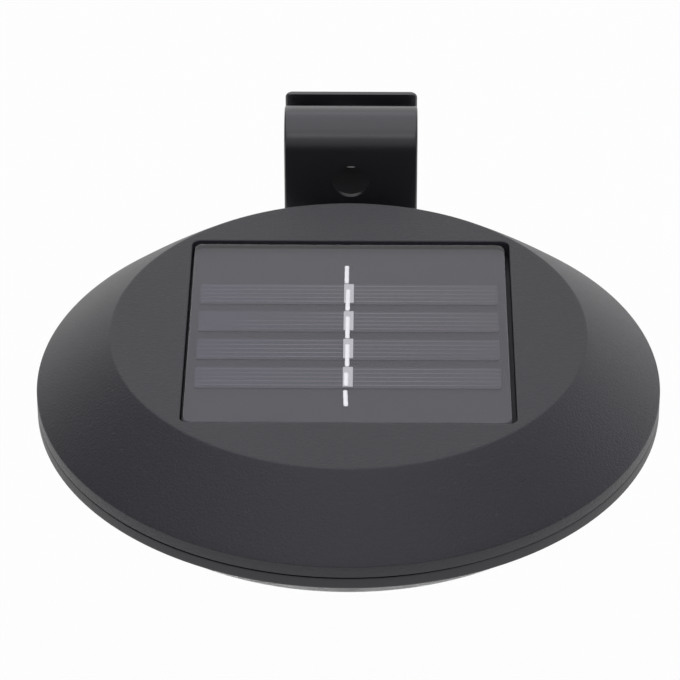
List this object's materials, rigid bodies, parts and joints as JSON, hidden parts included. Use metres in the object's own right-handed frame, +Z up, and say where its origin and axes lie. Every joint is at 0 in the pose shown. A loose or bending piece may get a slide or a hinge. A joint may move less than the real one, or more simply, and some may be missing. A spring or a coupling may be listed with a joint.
{
  "type": "solar fence light",
  "caption": "Round solar fence light with a square solar panel in its flat top, a bevelled rim and a lens below, held by a bent strap bracket with a tilting pivot.",
  "frame": {"origin": "centre of the clamp hole, on the front face of the strap's near plate, which faces the lamp", "axes": "+Z up, +Y from the lamp through the strap towards the fence, +X to the right as seen from the lamp's front"},
  "size_m": [0.1082, 0.1259, 0.0367],
  "materials": {
    "bracket_steel": "satin black powder coat",
    "bolt_steel": "blackened",
    "zinc_steel": "plain zinc",
    "knob_black": "matt moulded",
    "housing_top": "semi-gloss moulded, near black",
    "housing_base": "semi-gloss moulded, near black",
    "seal_rubber": "matt",
    "tape_foam": "matt foam",
    "panel_base": "dark solder mask",
    "silicon": "dark grey cell, fine grain",
    "silver_paste": "matt silver",
    "tinned_copper": "bright tinned",
    "panel_clear": "clear gloss resin",
    "cell_wrap": "plain shrink wrap",
    "holder_black": "matt",
    "nickel": "bright nickel",
    "board_green": "satin solder mask",
    "board_white": "white solder mask",
    "chip_black": "matt",
    "can_aluminium": "plain",
    "ferrite": "matt",
    "led_phosphor": "yellow phosphor dome",
    "reflector_white": "gloss white",
    "lens_frost": "frosted, translucent",
    "button_rubber": "matt",
    "wire_cover": "satin",
    "wire_dark": "satin"
  },
  "bodies": {
    "bracket": {"bracket_strap": "bracket_steel", "pivot_bolt": "bolt_steel", "pivot_washers": "zinc_steel", "knob_nut": "zinc_steel", "thumb_knob": "knob_black"},
    "lamp": {"top_cover": "housing_top", "base_shell": "housing_base", "rim_seal": "seal_rubber", "cover_screws": "zinc_steel", "panel_tape": "tape_foam", "panel_board": "panel_base", "solar_cells": "silicon", "cell_busbars": "silver_paste", "tabbing_ribbon": "tinned_copper", "panel_resin": "panel_clear", "battery_cell": "cell_wrap", "battery_holder": "holder_black", "battery_contacts": "nickel", "led_board": "board_white", "leds": "led_phosphor", "reflector": "reflector_white", "lens_seal": "seal_rubber", "lens": "lens_frost", "control_board": "board_green", "board_screws": "zinc_steel", "control_chip": "chip_black", "power_coil": "ferrite", "capacitor": "can_aluminium", "switch_body": "chip_black", "button_seal": "seal_rubber", "panel_wires": "wire_cover", "led_wires": "wire_dark", "switch_wires": "wire_dark", "battery_wires": "wire_cover"},
    "button": {"switch_button": "button_rubber"}
  },
  "joints": [
    {"name": "lamp_tilt", "type": "hinge", "parent": "bracket", "child": "lamp", "pos_m": [0, -0.0125, -0.0174], "axis": [1, 0, 0], "range_deg": [-12, 60]},
    {"name": "button_press", "type": "slide", "parent": "lamp", "child": "button", "axis": [0, 0, 1], "range_m": [0, 0.0008], "stiffness_N_per_m": 500}
  ]
}
